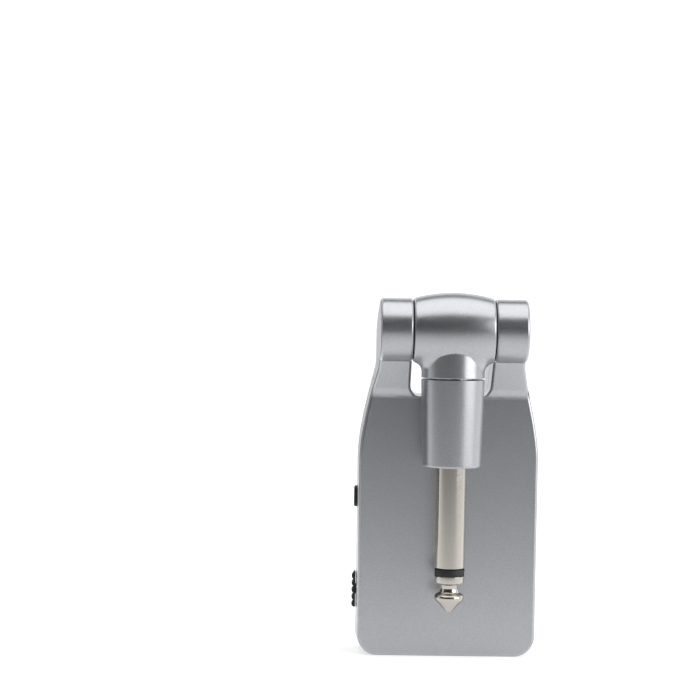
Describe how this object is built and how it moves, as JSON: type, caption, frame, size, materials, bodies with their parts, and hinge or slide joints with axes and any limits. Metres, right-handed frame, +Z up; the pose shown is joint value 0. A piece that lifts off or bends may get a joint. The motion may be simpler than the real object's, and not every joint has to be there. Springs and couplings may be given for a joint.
{
  "type": "wireless guitar transmitter",
  "caption": "Slim silver radio transmitter for a guitar, with a quarter-inch plug on a hinged arm that folds flat against its back, and a button and slide switch on one side.",
  "frame": {"origin": "middle of the bottom end, halfway through the body's thickness", "axes": "+Z up along the body to the hinge, +Y out of the printed front, -Y out of the flat back where the plug folds, X across the body with the side controls on -X"},
  "size_m": [0.0392, 0.028, 0.0773],
  "materials": {
    "silver_paint": "satin metallic silver paint over moulded plastic",
    "nickel_plate": "bright nickel plating",
    "brass_parts": "turned brass",
    "steel_parts": "plain steel",
    "black_plastic": "fine satin black",
    "white_plastic": "satin natural white",
    "board_mask": "green solder mask",
    "chip_black": "matt moulded resin",
    "chip_ceramic": "unglazed ceramic",
    "cell_foil": "satin pouch foil",
    "foam_tape": "closed-cell foam",
    "clear_plastic": "clear moulded plastic",
    "red_insulation": "satin wire insulation",
    "black_insulation": "satin wire insulation"
  },
  "bodies": {
    "housing": {"front_shell": "silver_paint", "rear_shell": "silver_paint", "main_board": "board_mask", "board_screw_1": "steel_parts", "board_screw_2": "steel_parts", "board_screw_3": "steel_parts", "board_screw_4": "steel_parts", "battery_cell": "cell_foil", "battery_tape": "foam_tape", "radio_shield": "steel_parts", "chip_antenna": "chip_ceramic", "audio_chip": "chip_black", "charger_chip": "chip_black", "crystal": "steel_parts", "charge_socket": "steel_parts", "socket_tongue": "black_plastic", "status_light": "white_plastic", "light_pipe": "clear_plastic", "battery_lead_red": "red_insulation", "battery_lead_black": "black_insulation", "pair_switch": "black_plastic", "power_switch": "steel_parts", "pivot_bush": "brass_parts", "pivot_pin": "steel_parts", "friction_washer_right": "black_plastic", "friction_washer_left": "black_plastic", "spacer_washer": "white_plastic", "spring_washer": "steel_parts", "signal_wire_body": "red_insulation", "ground_wire_body": "black_insulation"},
    "plug_arm": {"hinge_barrel": "silver_paint", "plug_sleeve": "silver_paint", "plug_shaft": "nickel_plate", "insulator_ring": "black_plastic", "plug_tip": "nickel_plate", "insulator_tube": "white_plastic", "clamp_nut": "brass_parts", "insulating_washer": "black_plastic", "tip_terminal": "brass_parts", "ground_terminal": "brass_parts", "signal_wire_arm": "red_insulation", "ground_wire_arm": "black_insulation"},
    "pair_button": {"pair_button": "black_plastic"},
    "power_slider": {"power_slider": "black_plastic"}
  },
  "joints": [
    {"name": "plug_fold", "type": "hinge", "parent": "housing", "child": "plug_arm", "pos_m": [0, -0.0137, 0.0695], "axis": [-1, 0, 0], "range_deg": [0, 220]},
    {"name": "pair_press", "type": "slide", "parent": "housing", "child": "pair_button", "axis": [1, 0, 0], "range_m": [0, 0.0004], "stiffness_N_per_m": 800},
    {"name": "power_slide", "type": "slide", "parent": "housing", "child": "power_slider", "axis": [0, 0, 1], "range_m": [0, 0.002]}
  ]
}
